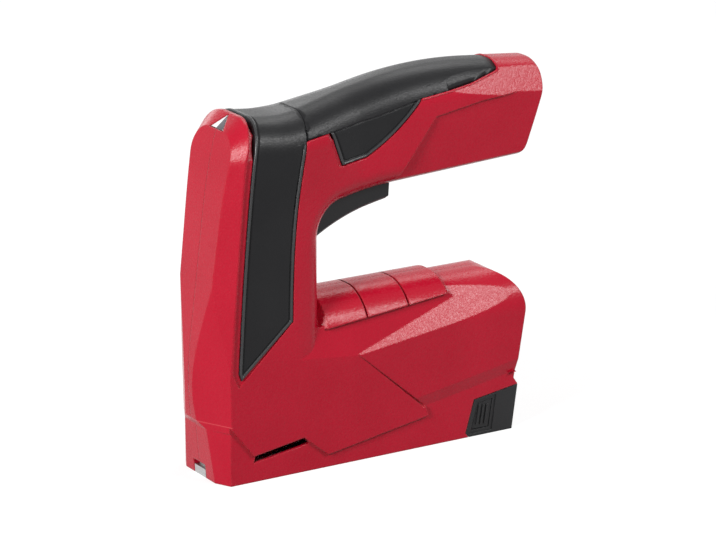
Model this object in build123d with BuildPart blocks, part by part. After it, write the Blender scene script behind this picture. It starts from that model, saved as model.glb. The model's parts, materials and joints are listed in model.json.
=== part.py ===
import os
from math import cos, degrees, radians, sin

from build123d import *

os.makedirs("parts", exist_ok=True)

# Sizes in millimetres. Side-view places are (length from the nose corner, height above the base).

# housing form
side_half = 22.5          # half width of column and flank
panel_half = side_half + 0.3   # half width of the bulging rear panel
strip_half = side_half - 1.2   # half width of the magazine strip along the base
head_top = 167.6          # height of the head
head_corner = 16.0        # rounding of the head seen from the front
nose_face = -4.0          # front of the nose at the base
ledge_low, ledge_high = 25.0, 28.5
bulge = -9.7              # most forward point of the front
front_lean = 4.9          # lean of the front chamfer, degrees
chamfer_run = 14.0        # depth over which the front corners are chamfered
column_rear = 48.6        # rear of the column in the hand gap
handle_low = 127.5        # underside of the handle at the trigger
handle_rear = 171.5       # rear end of the handle
handle_half = side_half - 4.9  # half width of the handle
taper_start, taper_end = 36.0, 71.0   # where the sides draw in from column to handle
taper_round = 40.0        # rounding of the bends in plan, where the taper starts and ends
under_round = 9.0         # rounding of the edges around the hand gap
end_round = 3.0           # rounding of the edges at the handle's rear end
rear_bend = 163.0         # height from which the rear end slopes forward
rear_bend_round = 40.0
box_top = 76.8            # top of the rear box
pad_top = 79.2            # top of the finger pads
wall = 2.8                # housing wall
skin = 1.8                # depth of the soft grips
skin_drop = 0.25          # how far the grips lie below the hard surface
fit = 0.15                # gap around grips and lens
shelf_wide, shelf_deep = 3.2, 0.8   # sunk shelf in front of the soft band and of the grip's wedge
nose_x = -(handle_rear + bulge) / 2   # nose corner in the shared frame, so that the origin is central

side = Plane(origin=(nose_x, 0, 0), x_dir=(1, 0, 0), z_dir=(0, -1, 0))
plan = Plane(origin=(nose_x, 0, 0))


def cross(x, lean=0.0):
    """Plane across the tool at length x, its upright leaning back by some degrees."""
    a = radians(lean)
    return Plane(origin=(nose_x + x, 0, 0), x_dir=(0, 1, 0), z_dir=(cos(a), 0, -sin(a)))


def at(x, y, z):
    """Point given by length from the nose corner, side and height."""
    return (nose_x + x, y, z)


def facet(p, q, r):
    """Plane through three points, facing the side that p, q, r turn around."""
    u = Vector(*q) - Vector(*p)
    v = Vector(*r) - Vector(*p)
    return Plane(origin=p, x_dir=u, z_dir=u.cross(v))


def beyond(plane, inset):
    """Large block on the outer side of a plane drawn in by inset."""
    with BuildPart() as block:
        with BuildSketch(plane.offset(-inset)):
            Rectangle(500, 500)
        extrude(amount=60)
    return block.part


def front_cutter(inset):
    """What the chamfer takes off the front corners and the front of the head."""
    shift = 1.41 * inset
    spread = chamfer_run + 5
    with BuildPart() as pyramid:
        for x, grow in ((-5 - chamfer_run, 0), (0, spread)):
            with BuildSketch(cross(x + shift, front_lean)):
                with Locations((0, (head_top - 3.3 - chamfer_run + grow - 40) / 2)):
                    Rectangle(2 * (side_half - chamfer_run + grow), head_top - 3.3 - chamfer_run + grow + 40)
                fillet(vertices().group_by(Axis.Y)[-1], head_corner - chamfer_run + grow)
        loft(ruled=True)
    with BuildPart() as cutter:
        with BuildSketch(cross(shift, front_lean)):
            Rectangle(140, 600)
        extrude(amount=-5 - chamfer_run)
        add(pyramid.part, mode=Mode.SUBTRACT)
    return cutter.part


def front_facets(inset):
    """Facets that turn the lower front of the column into a blunt wedge."""
    with BuildPart() as cutter:
        for s in (-1, 1):
            p = at(0, s * side_half, ledge_high)
            q = at(-9.2, s * (side_half - 18.5), ledge_high)
            r = at(-5.2, s * (side_half - 8.1), 92)
            add(beyond(facet(p, q, r) if s > 0 else facet(q, p, r), inset))
    return cutter.part


def handle_facets(inset):
    """Flat slopes beside the top of the handle's rear, and the sunk facets below them."""
    with BuildPart() as cutter:
        for s in (-1, 1):
            p = at(110.9, s * (handle_half - 1.0), 155.7)
            q = at(166.6, s * (handle_half - 1.0), 163.3)
            r = at(135, s * (handle_half - 3.3), 128.8)
            add(beyond(facet(p, q, r) if s > 0 else facet(q, p, r), inset))
        with BuildSketch(side):
            with BuildLine():
                Polyline((82, 118), (111, 156), (136, 160.2), (185, 164), (185, 118), close=True)
            make_face()
        extrude(amount=60, both=True, mode=Mode.INTERSECT)
        for s in (-1, 1):
            p = at(104, s * (side_half - 6.8), head_top + 3.7)
            q = at(171.5, s * (side_half - 8.7), head_top - 2.9)
            r = at(171.5, s * (side_half - 13.4), head_top + 5.9)
            add(beyond(facet(p, r, q) if s > 0 else facet(q, r, p), inset))
    return cutter.part


def rear_cutter(inset):
    """What lies behind the sloping rear end of the handle."""
    with BuildPart() as cutter:
        with BuildSketch(side.offset(-40)):
            with BuildLine():
                Polyline(
                    (handle_rear - inset, 220), (handle_rear - inset, rear_bend),
                    (under_rear[0] - inset, under_rear[1]),
                    (under_rear[0] - inset - 3, 120), (220, 120), (220, 220), close=True,
                )
            make_face()
            fillet(vertices().sort_by_distance((handle_rear - inset, rear_bend))[0], rear_bend_round)
        extrude(amount=80)
    return cutter.part


# Top line of head and handle: saddle behind the head, crown of the handle, rear end
saddle = (35.0, head_top - 2.6)
crown = (109.0, head_top + 12.4)
top_rear = (185.0, head_top + 5.3)
saddle_round, crown_round = 60.0, 207.0

# Front of the column from the ledge up to the head
front_curve = ((bulge, 46), (-6.3, 83), (-2.2, 116), (1.9, 144), (6, 161), (8.3, head_top + 1))

# Hand gap: column rear, rounded corner above the trigger, straight underside of the handle
gap_bend = (column_rear, 120.9)
under_bend = (83.0, 126.1)
under_rear = (161.0, 130.5)
gap_bend_round, under_bend_round = 15.0, 30.0


def side_outline(inset, gap_inset, bends):
    """Side view of column and handle drawn in by inset, more at the hand gap; bends rounds its corners."""
    nose = (
        (nose_face + inset, inset), (nose_face - 2.2 + inset, ledge_low),
        (nose_face - 4.6 + inset, ledge_high),
    )
    front = [(x + inset, z) for x, z in front_curve]
    top = [(0, head_top + 1.2 - inset)] + [(x, z - inset) for x, z in (saddle, crown, top_rear)]
    under = (
        (183, under_rear[1] + 0.9 + gap_inset),
        (under_bend[0] - 0.3 * gap_inset, under_bend[1] + gap_inset),
        (gap_bend[0] - gap_inset, gap_bend[1] + 0.6 * gap_inset),
        (column_rear - gap_inset, inset), nose[0],
    )
    with BuildSketch(side.offset(-40)) as face:
        with BuildLine():
            Polyline(*nose)
            if bends:
                Spline(nose[-1], *front)
            else:
                Polyline(nose[-1], *front)
            Polyline(front[-1], (front[-1][0], 190), (183, 190), *under)
        make_face()
        with BuildLine():
            Polyline(*top, (top_rear[0], 220), (0, 220), close=True)
        make_face(mode=Mode.SUBTRACT)
        if bends:
            fillet(vertices().sort_by_distance(top[1])[0], saddle_round)
            fillet(vertices().sort_by_distance(top[2])[0], crown_round)
            fillet(vertices().sort_by_distance(under[1])[0], under_bend_round)
            fillet(vertices().sort_by_distance(under[2])[0], gap_bend_round)
    return face.sketch


def plan_outline(inset, bends):
    """Plan view of column and handle drawn in by inset."""
    wide, narrow = side_half - inset, handle_half - inset
    with BuildSketch(plan) as face:
        with BuildLine():
            Polyline(
                (-40, wide), (taper_start, wide), (taper_end, narrow), (190, narrow), (190, 0), (-40, 0),
                close=True,
            )
        make_face()
        if bends:
            for x, y in ((taper_start, wide), (taper_end, narrow)):
                fillet(vertices().sort_by_distance((x, y))[0], taper_round)
        mirror(about=Plane.XZ)
    return face.sketch


def upper_body(inset):
    """Column and handle drawn in by inset, with the leaning front and its chamfer."""
    with BuildPart() as body:
        extrude(side_outline(inset, inset, True), amount=80)
        extrude(plan_outline(inset, True), amount=220, mode=Mode.INTERSECT)
        edge = body.edges().filter_by(lambda e: abs(e.center().Y) > 12)
        fillet(edge.filter_by(lambda e: e.bounding_box().min.Z > head_top - 8), head_corner - inset)
        edge = body.edges().filter_by(
            lambda e: abs(e.center().Y) > 12 and e.center().Z < handle_low + 4 + inset
        )
        edge = edge.filter_by(lambda e: e.center().X > nose_x + column_rear - inset - 1)
        fillet(edge.filter_by(lambda e: e.bounding_box().max.Z > inset + 1), under_round - inset * 0.7)
        add(rear_cutter(inset), mode=Mode.SUBTRACT)
        if not inset:
            rear = body.faces().filter_by(lambda f: f.normal_at().X > 0.7 and f.center().X > nose_x + 150)
            border = rear.edges().filter_by(
                lambda e: abs(e.center().Y) > 0.1 or abs(e.center().Z - rear_bend + 13) > 17
            )
            fillet(border, end_round)
        add(front_cutter(inset), mode=Mode.SUBTRACT)
        add(front_facets(inset), mode=Mode.SUBTRACT)
        add(handle_facets(inset), mode=Mode.SUBTRACT)
    return body.part


def inner_section(x, half, top, inset):
    """Cross section with straight walls and slanting upper corners, lying inside the rounded outside."""
    wide, turn = half - head_corner, head_corner - inset
    slant = turn * sin(radians(45))
    corner = (
        (half - inset, top - head_corner), (wide + slant, top - head_corner + slant), (wide, top - inset),
    )
    with BuildSketch(cross(x)) as face:
        with BuildLine():
            Polyline(
                (half - inset, -4), *corner, *[(-y, z) for y, z in reversed(corner)], (inset - half, -4),
                close=True,
            )
        make_face()
    return face.sketch


def inner_body(inset, gap_inset):
    """Column and handle in flat facets, drawn in by inset: the hollow, and the floor under the soft skins."""
    with BuildPart() as body:
        add(inner_section(-20, side_half, head_top, inset))
        add(inner_section(taper_start, side_half, saddle[1], inset))
        add(inner_section(taper_end, handle_half, saddle[1] + 7.0, inset))
        add(inner_section(90, handle_half, crown[1] - 4.4, inset))
        add(inner_section(crown[0], handle_half, crown[1] - 2.4, inset))
        add(inner_section(139, handle_half, crown[1] - 3.1, inset))
        add(inner_section(185, handle_half, top_rear[1] - 0.3, inset))
        loft(ruled=True)
        extrude(side_outline(inset, gap_inset, False), amount=80, mode=Mode.INTERSECT)
        add(rear_cutter(inset), mode=Mode.SUBTRACT)
        add(front_cutter(inset), mode=Mode.SUBTRACT)
        add(front_facets(inset), mode=Mode.SUBTRACT)
        add(handle_facets(inset), mode=Mode.SUBTRACT)
    return body.part


# Flank and rear box, side view
tip = (66.9, 51.1)              # foremost point of the rear panel
ridge_end = (153.9, 62.8)       # rear end of the panel's upper crease
slope_end = (121.3, 68.8)       # where the sloping facets meet under the pad
slit_end = (103.2, 19.9)        # lower end of the panel's front edge
belly_end = (149.3, 27.9)       # rear end of the panel's lower edge
strip_line = ((-1, ledge_high), (11.5, 12.6), (37.8, 16.8), (41.8, 13.3), (50.4, 6.2), (104.5, 15.2))
cap_outline = ((126, 2.3), (127.7, 0), (151.6, 0), (154.6, 21.4), (130.5, 17.8))
facet_half = side_half - 5.9    # half width where the sloping facets meet under the pad
belly = 6.0                     # height of the slope under the panel
slit_wide, slit_deep = 1.6, 1.0  # slit in front of the panel
box_end_round = 17.0            # rounding of the box's upper rear end
pad_half = side_half - 0.6      # half width of the finger pads
pad_front, pad_rear = 47.2, 118.6
pad_bevel, pad_end = 4.5, 1.6   # bevels at the front and rear ends of the pads
pad_grooves = (72.4, 95.2)      # grooves that part the three finger pads
groove_wide, groove_deep = 1.0, 0.9
pad_corner = 20.0               # rounding of box and pads seen from behind


def base_body(inset, narrow=0.0):
    """Rear box over the magazine, with its sloping upper facets."""
    with BuildPart() as box:
        with BuildSketch(cross(20)):
            with Locations((0, (box_top - inset - 4) / 2)):
                Rectangle(2 * (panel_half - inset - narrow), box_top - inset + 4)
            fillet(vertices().group_by(Axis.Y)[-1], pad_corner - inset)
        extrude(amount=160)
        corner = (160.9 - inset, box_top - inset)
        with BuildSketch(side):
            with BuildLine():
                Polyline(
                    (20, corner[1]), (20, inset), (151.6 - inset, inset), (154.8 - inset, 21.5),
                    (152.4 - inset, 25),
                    corner, close=True,
                )
            make_face()
            fillet(vertices().sort_by_distance(corner)[0], box_end_round - inset)
        extrude(amount=40, both=True, mode=Mode.INTERSECT)
        for s in (-1, 1):
            p = at(tip[0], s * panel_half, tip[1])
            q = at(ridge_end[0], s * panel_half, ridge_end[1])
            r = at(slope_end[0], s * facet_half, slope_end[1])
            add(beyond(facet(p, r, q) if s > 0 else facet(q, r, p), inset + narrow), mode=Mode.SUBTRACT)
            with BuildSketch(side.offset(s * (side_half - inset - 0.5))):
                with BuildLine():
                    Polyline(
                        (19, -1), (104.5, -1), strip_line[-1], slit_end, tip, (60, 57), (19, 57), close=True,
                    )
                make_face()
            extrude(amount=s * 10, mode=Mode.SUBTRACT)
    return box.part


def flank():
    """Flat flank from the column back to the panel's front edge, leaning in under the pads."""
    with BuildPart() as body:
        with BuildSketch(side):
            with BuildLine():
                Polyline(
                    (30, 2),
                    (104.5, 2), strip_line[-1], slit_end, tip, slope_end, (slope_end[0] - 2, 71), (44, 66.5),
                    (30, 66.5), close=True,
                )
            make_face()
        extrude(amount=side_half, both=True)
        for s in (-1, 1):
            p = at(tip[0], s * side_half, tip[1])
            q = at(slope_end[0], s * facet_half, slope_end[1])
            r = at(50.6, s * (side_half - 3.4), 66)
            add(beyond(facet(p, q, r) if s < 0 else facet(q, p, r), 0), mode=Mode.SUBTRACT)
    return body.part


def pad_section(x, inset):
    """Cross section of the finger pads drawn in by inset."""
    with BuildSketch(cross(x)) as face:
        with Locations((0, (pad_top - inset) / 2)):
            Rectangle(2 * (pad_half - inset), pad_top - inset)
        fillet(vertices().group_by(Axis.Y)[-1], pad_corner - inset)
    return face.sketch


def pads():
    """Three finger pads in a row on top of the box, parted by grooves."""
    with BuildPart() as body:
        extrude(pad_section(pad_front, 0), amount=pad_rear - pad_front)
        ends = body.faces().filter_by(Axis.X).sort_by(Axis.X)
        chamfer(ends[0].edges().filter_by(lambda e: e.bounding_box().max.Z > 1), pad_bevel)
        ends = body.faces().filter_by(Axis.X).sort_by(Axis.X)
        chamfer(ends[-1].edges().filter_by(lambda e: e.bounding_box().max.Z > 1), pad_end)
        for x in pad_grooves:
            with BuildSketch(cross(x)):
                Rectangle(100, 240)
                add(pad_section(x, groove_deep), mode=Mode.SUBTRACT)
            extrude(amount=groove_wide, mode=Mode.SUBTRACT)
        with BuildSketch(side):
            with BuildLine():
                Polyline((40, 100), (40, 64.8), (pad_rear + 4, 71.6), (pad_rear + 4, 100), close=True)
            make_face()
        extrude(amount=40, both=True, mode=Mode.INTERSECT)
    return body.part


# Drive, side view places
motor_z = 52.0             # height of motor and gear axis
motor_r = 12.0
motor_front, motor_back = 64.0, 101.0
cap_depth = 4.0
gear_r = 13.5              # gear case
gear_front = 40.4
shaft_r = 3.0
run = 0.05                 # running clearance on shafts, rods and pins
bearing_r = 6.5
pitch_r = 9.0              # pitch radius of the toothed sector
tooth_step = 3.1416        # pitch of sector and rack teeth
tooth_count = 8
sector_front, sector_back = 31.4, 36.4
blade_front, blade_back = 0.5, 1.7
blade_half = 5.5
hammer_back = 28.0
hammer_low, hammer_high = 66.0, 96.0
rod_x, rod_r = 16.0, 2.5
rod_y = side_half - 9.5    # guide rods beside the main spring
frame_low, frame_high = 60.0, 151.0   # inner faces of the drive frame
plate = 3.0                # thickness of the frame's flanges
spring_r = 8.5
frame_front, frame_back = 9.8, 27.0
frame_half = side_half - wall - 0.5   # the frame's upright stands against the right wall
web = 1.7                  # thickness of the frame's upright
frame_end = frame_half - 2.2          # free ends of the flanges


def drive(x):
    """Plane across the tool at length x, centred on the motor axis."""
    return Plane(origin=at(x, 0, motor_z), x_dir=(0, 1, 0), z_dir=(1, 0, 0))


# Magazine
channel_half, channel_top = 7.5, 17.0
sheet = 1.0
floor = wall + 0.1         # what stands on the housing floor
channel_front, channel_back = 2.2, 122.0
rail_half, rail_top = 4.2, 11.5
rail_front, rail_back = 3.0, 128.0
pusher_front, pusher_back = 12.0, 22.0
slide_gap = 0.3            # clearance of the sliding pieces

button_pocket = 4.4        # depth of the pockets for the squeeze buttons

# Nose contact, pressed up against the work
contact_x, contact_thick, contact_half, contact_high = -1.9, 0.9, 5.0, 4.0
stem_half, stem_top, contact_travel = 3.5, 34.0, 2.0

# Charge light
light_r = 2.0
light_low = 1.2            # how far the light lies below the middle of its window

# Handle
cell_r, cell_front, cell_back, cell_z = 9.15, 94.0, 159.0, 150.0
board_low, board_thick, board_half = 162.6, 1.6, 9.0
pin_x, pin_z, pin_r = 85.5, 131.0, 1.5
trigger_half = 9.0
switch_front, switch_back, switch_low, switch_high, switch_half = 60.0, 79.0, 137.5, 147.0, 3.2
plunger_x, plunger_r, plunger_long = 70.0, 1.2, 3.7
socket_half, socket_low, socket_high = 4.5, 133.8, 137.6

# Screws: length, height and the depth of the bosses; driven in from the right side
screw_places = (
    (40.5, 112.0, side_half - 2.7), (57.0, 27.5, side_half - 2.5), (118.0, 28.0, panel_half - 1.9),
    (112.0, 136.0, handle_half - 3.6), (165.0, 156.0, handle_half - 2.9),
)
boss_r, screw_r, head_r, head_deep = 3.5, 1.5, 3.0, 4.0
screw_deep = 9.0           # how far the screws reach into the left half

outer = upper_body(0)
under_skin = inner_body(skin + 0.05, skin)
skin_face = upper_body(skin_drop)
skin_back = inner_body(skin, skin)
shelf_floor = inner_body(shelf_deep, shelf_deep)
hollow_base = base_body(wall, panel_half - strip_half - 0.6)
with BuildPart() as hollow_column:
    add(inner_body(wall, wall + 1.5))
    # the nose stays solid beside the blade
    with Locations(at(-4, 0, 15)):
        Box(21, 60, 30, mode=Mode.SUBTRACT)
    with Locations(at(2.9, 0, (wall + 31) / 2)):
        Box(7.8, 18.4, 31 - wall)
hollow_upper = hollow_column.part


def side_prism(points, reach, grow=0.0):
    """Block through the tool with a straight-sided outline in side view."""
    with BuildPart() as block:
        with BuildSketch(side):
            with BuildLine():
                Polyline(*points, close=True)
            make_face()
            if grow:
                offset(amount=grow, kind=Kind.INTERSECTION)
        extrude(amount=reach, both=True)
    return block.part


divide = ((44.8, 174), (40.6, 155.2))   # line between band and grip
divide_gap = 0.4
wedge_line = ((54.2, 156.8), (60.4, 140.6))   # front edge of the wedge low on the grip


def band_prism(grow, lead=None):
    """Outline of the soft band on the column, running up over the head; lead widens its front edge."""
    lead = grow if lead is None else lead
    front = ((4.3, 52.6), (5.9, 78.8), (8.8, 115.4), (12.0, 146), (14.2, 158), (17.8, 166.5), (23.8, 174))
    rear = (divide[1], (39.0, 147.3), (35.7, 129.5), (33.0, 102.3), (32.1, 73.0))
    low = (5.5 - 0.5 * (lead - grow), 49.4 - 0.5 * grow - 0.9 * lead)
    front = [(x - lead, z) for x, z in front]
    rear = [(x + grow, z) for x, z in rear]
    with BuildPart() as block:
        with BuildSketch(side):
            with BuildLine():
                Spline(*front)
                Polyline(front[-1], (divide[0][0] + grow, divide[0][1]), rear[0])
                Spline(*rear)
                Polyline(rear[-1], low, front[0])
            make_face()
        extrude(amount=40, both=True)
    return block.part


def grip_prism(grow):
    """Outline of the soft grip on the handle, with its wedge low on the side."""
    head = [(x + divide_gap - grow, z) for x, z in divide]
    wedge = [(x - 0.7 * grow, z - grow) for x, z in wedge_line] + [(73.5 + 0.3 * grow, 142.2 - grow)]
    curve = (wedge[-1], (90.5 + 0.7 * grow, 152.9 - 0.7 * grow), (103.5 + 0.3 * grow, 165.4 - grow))
    with BuildPart() as block:
        with BuildSketch(side):
            with BuildLine():
                Polyline(*head[:1], (head[1][0], head[1][1] - grow), *wedge)
                Spline(*curve)
                Polyline(
                    curve[-1], (131.0, 168.4 - grow), (147.5 + grow, 172.0 - grow),
                    (149.5 + grow, 184), (head[0][0], 184),
                    head[0],
                )
            make_face()
        extrude(amount=40, both=True)
    return block.part


def pocket(block):
    """What a soft skin takes out of the hard housing."""
    with BuildPart() as room:
        add(block)
        add(under_skin, mode=Mode.SUBTRACT)
    return room.part


# Window of the charge light, on the slope at the top of the head
window = Plane(origin=at(9.2, 0, 164.3), x_dir=(0, 1, 0), z_dir=(-sin(radians(49)), 0, cos(radians(49))))
window_base, window_len = 11.4, 8.6


def window_prism(grow, low, high):
    with BuildPart() as block:
        with BuildSketch(window.offset(low)):
            with BuildLine():
                Polyline(
                    (-window_base / 2, window_len / 2), (window_base / 2, window_len / 2),
                    (0, -window_len / 2),
                    close=True,
                )
            make_face()
            if grow:
                offset(amount=grow, kind=Kind.INTERSECTION)
        extrude(amount=high - low)
    return block.part


with BuildPart() as form:
    add(outer)
    add(base_body(0))
    add(flank())
    add(pads())
    # the magazine strip stands back from the flank all along the base
    for s in (-1, 1):
        with BuildSketch(side.offset(s * (strip_half + 10) - 10)):
            with BuildLine():
                Polyline(
                    (-30, -5), (-30, ledge_high), *strip_line, slit_end, belly_end, (175, 32), (175, -5),
                    close=True,
                )
            make_face()
        extrude(amount=20, mode=Mode.SUBTRACT)
    # corners of the nose
    for s in (-1, 1):
        with BuildSketch(plan.offset(-1)):
            with BuildLine():
                Polyline(
                    (0, s * strip_half), (-11, s * (strip_half - 20)), (-11, s * 40), (0, s * 40), close=True,
                )
            make_face()
        extrude(amount=ledge_low + 1, mode=Mode.SUBTRACT)
    # underside of the panel slopes in to the strip
    with BuildPart(mode=Mode.PRIVATE) as underside:
        for s in (-1, 1):
            p = at(slit_end[0], s * strip_half, slit_end[1])
            q = at(belly_end[0], s * strip_half, belly_end[1])
            r = at(belly_end[0], s * panel_half, belly_end[1] + belly)
            add(beyond(facet(p, r, q) if s > 0 else facet(q, r, p), 0))
        with BuildSketch(side):
            with BuildLine():
                Polyline(slit_end, belly_end, (175, 32.4), (175, 48), tip, close=True)
            make_face()
        extrude(amount=60, both=True, mode=Mode.INTERSECT)
    add(underside.part, mode=Mode.SUBTRACT)
    # slit in front of the panel, opening towards its lower end
    for s in (-1, 1):
        with BuildSketch(side.offset(s * (side_half - slit_deep))):
            with BuildLine():
                Polyline(tip, slit_end, (slit_end[0] - slit_wide, slit_end[1] + 0.2), close=True)
            make_face()
        extrude(amount=s * 10, mode=Mode.SUBTRACT)


# Ribs that hold the inner pieces, left standing in the hollow
with BuildPart() as ribs:
    for x in (38.4, 46.5, 70.0, 95.0):
        with Locations(at(x, 0, 48)):
            Box(2.4, 60, 60)
    for x in (100.0, 148.0):
        with Locations(at(x, 0, 150)):
            Box(2.4, 60, 80)
    for z in (frame_low - plate - 1.1, frame_high + plate + 1.1):
        with Locations(at(14.2, 0, z)):
            Box(30, 60, 2.2)
    with Locations(at(contact_x - 4, 0, stem_top + 9)):
        Box(8, 14, 2)
    for x in (switch_front + 2, switch_back - 2):
        with Locations(at(x, 0, 148)):
            Box(2.4, 60, 26)
    for s in (-1, 1):
        with BuildSketch(window.offset(-10.2)):
            with Locations((s * 12, light_low)):
                Rectangle(14, 5)
        extrude(amount=1.5)
    # wall around the end of the magazine
    add(side_prism(((124, 2), (124, 17), (129, 20.6), (160, 25.2), (160, 20), (131, 16), (127, 2)), 30))
    # room for motor, gears, bearing, magazine, cell, board, spring, rack and blade
    with BuildSketch(drive(gear_front)):
        RegularPolygon(gear_r, 12, major_radius=False)
    extrude(amount=motor_front - gear_front, mode=Mode.SUBTRACT)
    with BuildSketch(drive(motor_front)):
        RegularPolygon(motor_r, 12, major_radius=False)
    extrude(amount=50, mode=Mode.SUBTRACT)
    with BuildSketch(drive(30)):
        RegularPolygon(bearing_r, 12, major_radius=False)
    extrude(amount=20, mode=Mode.SUBTRACT)
    with BuildSketch(cross(8)):
        with Locations((0, channel_top / 2 - 2)):
            Rectangle(2 * channel_half + 0.1, channel_top + 4.1)
    extrude(amount=110, mode=Mode.SUBTRACT)
    with BuildSketch(cross(cell_front - 2)):
        with Locations((0, cell_z)):
            RegularPolygon(cell_r, 12, major_radius=False)
        with Locations((0, board_low + board_thick / 2)):
            Rectangle(2 * board_half, board_thick)
    extrude(amount=80, mode=Mode.SUBTRACT)
    with BuildSketch(cross(switch_front)):
        with Locations((0, (switch_low + switch_high) / 2)):
            Rectangle(2 * switch_half + 0.1, switch_high - switch_low + 0.1)
        with Locations((0, switch_high + 2.5)):
            Rectangle(3.6, 6)
    extrude(amount=switch_back - switch_front, mode=Mode.SUBTRACT)
    with BuildSketch(plan.offset(50)):
        with Locations((4, 0)):
            Rectangle(14, 2 * blade_half + 8)
        with Locations((rod_x, 0)):
            RegularPolygon(spring_r + 2, 12, major_radius=False)
    extrude(amount=150, mode=Mode.SUBTRACT)
    with BuildSketch(plan.offset(18)):
        with Locations((sector_front + 3, 7.2)):
            Rectangle(9.6, 17)
    extrude(amount=100, mode=Mode.SUBTRACT)

with BuildPart() as hollow:
    add(hollow_upper)
    add(hollow_base)
    add(ribs.part, mode=Mode.SUBTRACT)
    # bosses for screws and trigger pin
    for x, z, reach in screw_places:
        with BuildSketch(side):
            with Locations((x, z)):
                RegularPolygon(boss_r, 8)
        extrude(amount=30, both=True, mode=Mode.SUBTRACT)
    for s in (-1, 1):
        with BuildSketch(side.offset(s * (trigger_half + 0.4))):
            with Locations((pin_x, pin_z)):
                Circle(pin_r + 2)
        extrude(amount=s * 20, mode=Mode.SUBTRACT)


# Trigger, drawn at rest; the slot in the housing leaves room for its swing
trigger_face = ((50.6, 104.6), (63.9, 111.6), (77.4, 116.2), (84.0, 117.6), (89.4, 118.6))
trigger_back = ((90.6, 119.8), (91.0, 126.3), (90.0, 134.4), (66.0, 134.4), (55.0, 128.0), (49.9, 117.0))
swing_room = (
    (52.0, 102.4), (91.8, 117.5), (91.8, 136.2), (64.0, 140.0), (48.0, 132.0), (45.0, 118.0), (46.2, 102.4),
)

with BuildPart() as housing:
    add(form.part)
    add(hollow.part, mode=Mode.SUBTRACT)
    # trigger slot
    add(side_prism(swing_room, trigger_half + 0.3), mode=Mode.SUBTRACT)
    with BuildSketch(side):
        with Locations((pin_x, pin_z)):
            Circle(pin_r)
    extrude(amount=14, both=True, mode=Mode.SUBTRACT)
    # staple windows low on both sides
    for s in (-1, 1):
        with BuildSketch(side.offset(s * strip_half)):
            with BuildLine():
                Polyline((11.8, 9.0), (40.9, 13.3), (37.8, 16.8), (12.6, 12.9), close=True)
            make_face()
        extrude(amount=s * 10, both=True, mode=Mode.SUBTRACT)
    # open rear of the magazine strip
    add(side_prism(cap_outline, 40, slide_gap), mode=Mode.SUBTRACT)
    with BuildSketch(cross(110)):
        with Locations((0, channel_top / 2 + 1)):
            Rectangle(2 * channel_half + 1, channel_top - 2)
    extrude(amount=30, mode=Mode.SUBTRACT)
    # staple exit and room for the contact piece at the nose
    with BuildSketch(plan.offset(-1)):
        with Locations((-2.4, 0)):
            Rectangle(7.4, 2 * contact_half + 0.8)
    extrude(amount=contact_high + 1 + contact_travel + 0.5, mode=Mode.SUBTRACT)
    with BuildSketch(plan.offset(-1)):
        with Locations((contact_x, 0)):
            Rectangle(contact_thick + 0.5, 2 * stem_half + 0.6)
        with Locations((0.6, 0)):
            Rectangle(3.4, 2 * blade_half + 1.4)
    extrude(amount=37, mode=Mode.SUBTRACT)
    # soft band, soft grip and window lie in pockets
    add(pocket(band_prism(fit)), mode=Mode.SUBTRACT)
    add(pocket(grip_prism(2 * fit)), mode=Mode.SUBTRACT)
    # shelves in front of the band and the wedge, below the hard surface
    with BuildPart(mode=Mode.PRIVATE) as shelf:
        add(band_prism(fit, shelf_wide))
        lead_edge = [(x - 0.7 * shelf_wide, z) for x, z in wedge_line]
        add(side_prism((
            *lead_edge, (wedge_line[1][0] + 2, wedge_line[1][1] - 0.3),
            (wedge_line[0][0] + 2, wedge_line[0][1]),
        ), 40))
        add(shelf_floor, mode=Mode.SUBTRACT)
    add(shelf.part, mode=Mode.SUBTRACT)
    add(window_prism(fit, -2.3, 20), mode=Mode.SUBTRACT)
    with BuildSketch(window.offset(-9)):
        with Locations((0, light_low)):
            Circle(light_r + 0.2)
    extrude(amount=9, mode=Mode.SUBTRACT)
    # charge socket at the rear of the handle
    with BuildSketch(cross(150)):
        with Locations((0, (socket_low + socket_high) / 2)):
            RectangleRounded(2 * socket_half + 0.2, socket_high - socket_low + 0.2, 1.2)
    extrude(amount=40, mode=Mode.SUBTRACT)
    # screw holes: pilot in the left half, through hole and head seat in the right half
    for x, z, reach in screw_places:
        with BuildSketch(side.offset(screw_deep + 1)):
            with Locations((x, z)):
                RegularPolygon(screw_r, 8)
        extrude(amount=-(screw_deep + 1 + reach), mode=Mode.SUBTRACT)
        with BuildSketch(side.offset(-(reach - head_deep))):
            with Locations((x, z)):
                Circle(head_r + 0.2)
        extrude(amount=-20, mode=Mode.SUBTRACT)

for name, keep in (("housing_left", Keep.TOP), ("housing_right", Keep.BOTTOM)):
    with BuildPart() as half:
        add(housing.part)
        split(bisect_by=side, keep=keep)
    half.part.label = name
    export_step(half.part, f"parts/{name}.step")

for node, block in (("soft_band", band_prism(0)), ("soft_grip", grip_prism(0))):
    for name, keep in ((node + "_left", Keep.TOP), (node + "_right", Keep.BOTTOM)):
        with BuildPart() as pad_skin:
            add(skin_face)
            add(block, mode=Mode.INTERSECT)
            add(skin_back, mode=Mode.SUBTRACT)
            split(bisect_by=side, keep=keep)
        pad_skin.part.label = name
        export_step(pad_skin.part, f"parts/{name}.step")

# Charge window, light and its small board
with BuildPart() as charge_window:
    add(window_prism(0, -2.2, 20))
    add(outer, mode=Mode.INTERSECT)
charge_window.part.label = "charge_window"
export_step(charge_window.part, "parts/charge_window.step")

with BuildPart() as charge_light:
    with BuildSketch(window.offset(-7.5)):
        with Locations((0, light_low)):
            Circle(light_r)
    extrude(amount=5.2)
charge_light.part.label = "charge_light"
export_step(charge_light.part, "parts/charge_light.step")

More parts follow.
